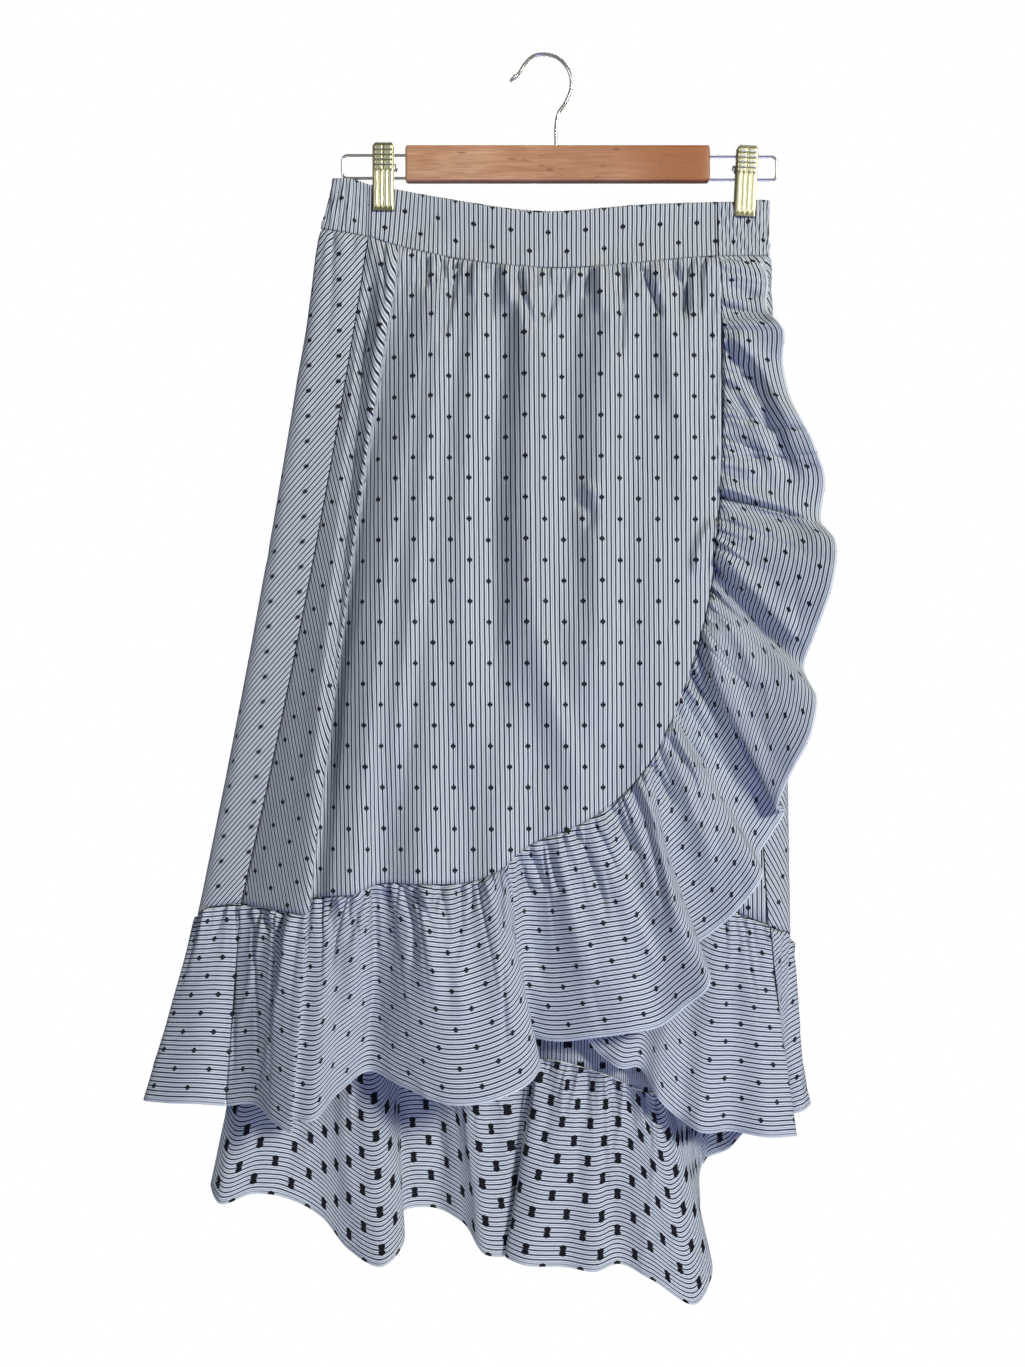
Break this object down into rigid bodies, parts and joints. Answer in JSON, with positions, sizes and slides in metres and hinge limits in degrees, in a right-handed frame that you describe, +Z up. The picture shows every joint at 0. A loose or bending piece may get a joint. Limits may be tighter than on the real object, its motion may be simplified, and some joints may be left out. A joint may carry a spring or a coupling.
{
  "type": "ruffle midi skirt on a clip hanger",
  "caption": "High-low midi skirt with a wrapped front, gathered ruffle along hem and wrap edge, elastic back band, held by the two clips of a wooden hanger.",
  "frame": {"origin": "top of the inside of the hanger's hook, where a rail or peg holds it", "axes": "+Z up along the hanging garment, -Y towards the viewer of the skirt's front, +X to the viewer's right"},
  "size_m": [0.5636, 0.1178, 1.0397],
  "materials": {
    "fabric": "woven striped cotton with small clipped dots",
    "wood": "satin varnish",
    "chrome": "bright plated steel"
  },
  "bodies": {
    "root": {"front_waistband": "fabric", "back_waistband": "fabric", "front_panel": "fabric", "under_panel": "fabric", "back_panel": "fabric", "front_ruffle": "fabric", "under_ruffle": "fabric", "back_ruffle": "fabric", "hanger_bar": "wood", "hanger_hook": "chrome", "hanger_rail_left": "chrome", "hanger_rail_right": "chrome", "clip_left_front": "chrome", "clip_left_back": "chrome", "clip_left_pivot": "chrome", "clip_right_front": "chrome", "clip_right_back": "chrome", "clip_right_pivot": "chrome"}
  },
  "joints": []
}
